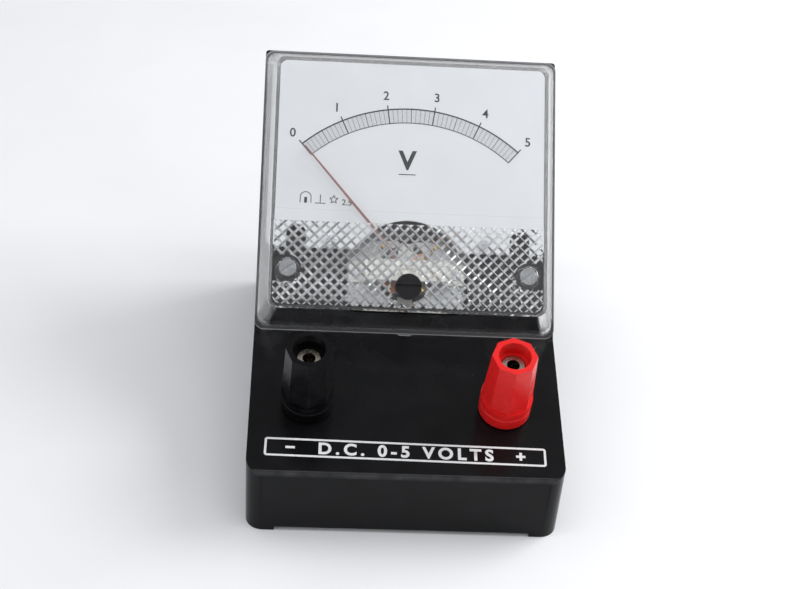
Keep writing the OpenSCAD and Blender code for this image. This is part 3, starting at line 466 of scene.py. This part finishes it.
band = bmesh.new()
arc(band, centre, SCALE_IN, SCALE_OUT, -SCALE_HALF, SCALE_HALF, SCALE_STEPS)
printed("scale_band", dial_face, band, grey_ink)

marks = bmesh.new()
for low_r, high_r in (OUTER_LINE, INNER_LINE):
    arc(marks, centre, low_r, high_r, -SCALE_HALF, SCALE_HALF, SCALE_STEPS)
for tenths in range(TENTHS + 1):
    mark_end, width = SCALE_OUT, TENTH_LINE
    if tenths % 5 == 0:
        width = HALF_LINE
    if tenths % 10 == 0:
        mark_end, width = SCALE_OUT + VOLT_RISE, VOLT_LINE
    stroke(marks, on_scale(SCALE_IN, tenths), on_scale(mark_end, tenths), width)
scale_marks = printed("scale_marks", dial_face, marks, black_ink)
scale_marks.data.transform(Matrix.Translation(INK_LIFT * panel_out))

figures = bmesh.new()
for volts in range(FULL_SCALE + 1):
    lettering(figures, str(volts), on_scale(FIGURE_R, 10 * volts), FIGURE_H, FIGURE_WEIGHT)
printed("scale_figures", dial_face, figures, black_ink)

UNIT_X = -0.9 * MM
UNIT_MID = 36.8 * MM
UNIT_H = 6.6 * MM
UNIT_WEIGHT = 0.03
BAR_DROP = 1.5 * MM
BAR_HALF = 2.8 * MM
BAR_LINE = 0.3 * MM
unit = bmesh.new()
lettering(unit, "V", (UNIT_X, UNIT_MID), UNIT_H, UNIT_WEIGHT)
bar_y = UNIT_MID - UNIT_H / 2 - BAR_DROP
stroke(unit, (UNIT_X - BAR_HALF, bar_y), (UNIT_X + BAR_HALF, bar_y), BAR_LINE)
printed("unit_sign", dial_face, unit, black_ink)

SIGNS_LOW = 21.2 * MM
FINE_LINE = 0.25 * MM
MAGNET_R = 1.9 * MM
MAGNET = (-33.9 * MM, SIGNS_LOW + MAGNET_R)
MAGNET_BAR = 0.9 * MM
MAGNET_STEPS = 20
UPRIGHT_X = -29.1 * MM
UPRIGHT_HALF = 1.7 * MM
UPRIGHT_H = 2.9 * MM
STAR = Vector((-24.7 * MM, SIGNS_LOW + 1.4 * MM))
STAR_TIP = 1.45 * MM
STAR_NOTCH = 0.65 * MM
STAR_CORNERS = 10
CLASS_MID = (-20.4 * MM, SIGNS_LOW + 0.6 * MM)
CLASS_H = 2.0 * MM
CLASS_WEIGHT = 0.005
signs = bmesh.new()
arc(signs, MAGNET, MAGNET_R - FINE_LINE, MAGNET_R, -90, 90, MAGNET_STEPS)
for side in (-1, 1):
    leg_x = MAGNET[0] + side * (MAGNET_R - FINE_LINE / 2)
    stroke(signs, (leg_x, MAGNET[1]), (leg_x, SIGNS_LOW), FINE_LINE)
stroke(signs, (MAGNET[0], SIGNS_LOW), MAGNET, MAGNET_BAR)
stroke(signs, (UPRIGHT_X - UPRIGHT_HALF, SIGNS_LOW), (UPRIGHT_X + UPRIGHT_HALF, SIGNS_LOW), FINE_LINE)
stroke(signs, (UPRIGHT_X, SIGNS_LOW), (UPRIGHT_X, SIGNS_LOW + UPRIGHT_H), FINE_LINE)
star_corners = []
for corner in range(STAR_CORNERS):
    spoke = Vector((0, STAR_NOTCH if corner % 2 else STAR_TIP))
    star_corners.append(STAR + Matrix.Rotation(math.tau * corner / STAR_CORNERS, 2) @ spoke)
for corner, next_corner in zip(star_corners, star_corners[1:] + star_corners[:1]):
    stroke(signs, corner, next_corner, FINE_LINE)
lettering(signs, "2.5", CLASS_MID, CLASS_H, CLASS_WEIGHT)
printed("dial_signs", dial_face, signs, black_ink)

# Movement
# A bar magnet between two soft-iron pole pieces, on a cast frame screwed to bosses behind the panel. The
# core sits in their bore on two plated keys, and plated bridges hold the coil's jewel screws.
cast_alloy = plated_metal("cast_alloy", (0.4, 0.41, 0.42), (0.52, 0.53, 0.54), 0.38, 0.58)
soft_iron = plated_metal("soft_iron", (0.34, 0.345, 0.35), (0.46, 0.465, 0.47), 0.3, 0.5, (1, 6, 1))
magnet_alloy = plated_metal("magnet_alloy", (0.1, 0.1, 0.105), (0.16, 0.16, 0.17), 0.5, 0.7)
dress(cast_alloy, "movement_frame", "coil_former")
dress(soft_iron, "pole_pieces", "core")
dress(magnet_alloy, "magnet")
nickel = plated_metal("nickel", (0.52, 0.51, 0.48), (0.66, 0.65, 0.61), 0.26, 0.42)
dress(nickel, "front_bridge", "rear_bridge", "zero_lever", "front_jewel_screw", "rear_jewel_screw",
      "core_keys")
dress(plain_brass, "pointer_stops", "hairspring_collets", "balance_weights")
break_edges(0.15 * MM, "pole_pieces", "magnet", "movement_frame", "front_bridge", "rear_bridge")

# Coil and hairsprings
# The coil is fine enamelled copper wire on a light frame, which swings round the core between two pivots.
# Flat bronze spirals at both ends bring it back and carry the current.


def wound_wire(name, dark, light, pitch):
    """Close turns of enamelled wire, seen as ridges."""
    material, shader = new_finish(name, {"Metallic": 1.0, "Coat Weight": 0.6, "Coat Roughness": 0.15})
    tint_between(material, shader, noise(material, 1.5 * MM, 3), dark, light)
    roughness_between(material, shader, noise(material, 0.3 * MM, 3), 0.25, 0.4)
    place = add_node(material, "ShaderNodeTexCoord", {})
    turns = add_node(material, "ShaderNodeTexWave", {"Scale": math.pi / 10 / pitch, "Distortion": 0.4})
    join(material, place.outputs["Object"], turns.inputs["Vector"])
    raise_surface(material, shader, turns.outputs["Fac"], 0.04 * MM, 0.6)
    return material


copper_wire = wound_wire("copper_wire", (0.42, 0.13, 0.05), (0.56, 0.2, 0.08), 0.1 * MM)
spring_bronze = plated_metal("spring_bronze", (0.5, 0.33, 0.16), (0.62, 0.43, 0.22), 0.2, 0.36)
dress(copper_wire, "coil_winding")
dress(spring_bronze, "front_hairspring", "rear_hairspring")

# Pointer
# A light alloy strip, fixed to the coil's frame and cranked up through the arch over the dial. It is sprayed
# a dull brown red.
pointer_paint = sprayed_paint("pointer_paint", (0.22, 0.11, 0.105), (0.29, 0.15, 0.145), 0.4, 0.55)
dress(pointer_paint, "pointer")

# Resistor and wires
# A carbon resistor in series with the coil is soldered to the positive terminal's tag. Two wires in soft
# coloured insulation join it and the other terminal to the movement.
resistor_coat = moulded_plastic("resistor_coat", (0.3, 0.2, 0.11), (0.38, 0.26, 0.15),
                                0.3, 0.45, 0.3 * MM, 0.5)
red_insulation = moulded_plastic("red_insulation", (0.3, 0.01, 0.01), (0.4, 0.018, 0.016),
                                 0.35, 0.5, 0.4 * MM, 0.5)
black_insulation = moulded_plastic("black_insulation", (0.008, 0.008, 0.009), (0.014, 0.014, 0.015),
                                   0.35, 0.5, 0.4 * MM, 0.5)
dress(resistor_coat, "series_resistor")
dress(red_insulation, "red_lead")
dress(black_insulation, "black_lead")

# Table, light and camera
# The meter stands on a plain pale table. The room is brightest to both sides, with a soft box at the right
# and a strip light overhead. The camera looks down from a little left of the middle, not quite level.
FLOOR_SIZE = 6.0
ROOM_COLOUR = (0.95, 0.97, 1.0, 1)
ROOM_AHEAD = 0.4
ROOM_ASIDE = 1.3
floor_mesh = bpy.data.meshes.new("table_top")
floor_shape = bmesh.new()
bmesh.ops.create_grid(floor_shape, x_segments=1, y_segments=1, size=FLOOR_SIZE / 2)
floor_shape.to_mesh(floor_mesh)
floor_shape.free()
table_top = bpy.data.objects.new("table_top", floor_mesh)
bpy.context.scene.collection.objects.link(table_top)
table_white, table_shader = new_finish("table_white", {"Specular IOR Level": 0.2})
tint_between(table_white, table_shader, noise(table_white, 60 * MM, 3), (0.8, 0.8, 0.81),
             (0.83, 0.83, 0.84))
roughness_between(table_white, table_shader, noise(table_white, 8 * MM, 3), 0.55, 0.7)
floor_mesh.materials.append(table_white)

room = bpy.data.worlds.new("bright_room")
room.use_nodes = True
glow = room.node_tree.nodes["Background"]
glow.inputs["Color"].default_value = ROOM_COLOUR
direction = add_node(room, "ShaderNodeTexCoord", {})
axes = add_node(room, "ShaderNodeSeparateXYZ", {})
brightness = add_node(room, "ShaderNodeMapRange", {"To Min": ROOM_AHEAD, "To Max": ROOM_ASIDE})
join(room, direction.outputs["Generated"], axes.inputs["Vector"])
join(room, sum_node(room, "ABSOLUTE", axes.outputs["X"]), brightness.inputs["Value"])
join(room, brightness.outputs["Result"], glow.inputs["Strength"])
bpy.context.scene.world = room


def soft_box(name, place, target, length, width, watts):
    """Oblong light that faces a point, with its length from left to right."""
    light = bpy.data.lights.new(name, "AREA")
    light.shape = "RECTANGLE"
    light.size = length
    light.size_y = width
    light.energy = watts
    lamp = bpy.data.objects.new(name, light)
    lamp.location = place
    lamp.rotation_euler = (Vector(target) - Vector(place)).to_track_quat("-Z", "Y").to_euler()
    bpy.context.scene.collection.objects.link(lamp)


soft_box("right_box", place=(0.5, 0.12, 0.45), target=(0.05, 0, 0.03), length=0.4, width=0.4, watts=2.8)
soft_box("overhead_strip", place=(0, -0.12, 1.0), target=(0, 0, 0), length=0.9, width=0.08, watts=1.7)

CAMERA_PLACE = Vector((-32.49, -379.28, 340.53)) * MM
YAW = math.radians(4.274)
PITCH = math.radians(37.832)
ROLL = math.radians(4.746)
FOCAL_PIXELS = 1467.6
FRAME_PIXELS = 786
SENSOR_MM = 36
forward = Vector((math.sin(YAW) * math.cos(PITCH), math.cos(YAW) * math.cos(PITCH), -math.sin(PITCH)))
level = Vector((math.cos(YAW), -math.sin(YAW), 0))
upright = level.cross(forward)
right = level * math.cos(ROLL) + upright * math.sin(ROLL)
top = upright * math.cos(ROLL) - level * math.sin(ROLL)
lens = bpy.data.cameras.new("camera")
lens.sensor_width = SENSOR_MM
lens.lens = SENSOR_MM * FOCAL_PIXELS / FRAME_PIXELS
lens.clip_start = 10 * MM
camera = bpy.data.objects.new("camera", lens)
facing = Matrix((right, top, -forward)).transposed().to_4x4()
camera.matrix_world = Matrix.Translation(CAMERA_PLACE) @ facing
bpy.context.scene.collection.objects.link(camera)
bpy.context.scene.camera = camera
bpy.context.scene.view_settings.view_transform = "Standard"
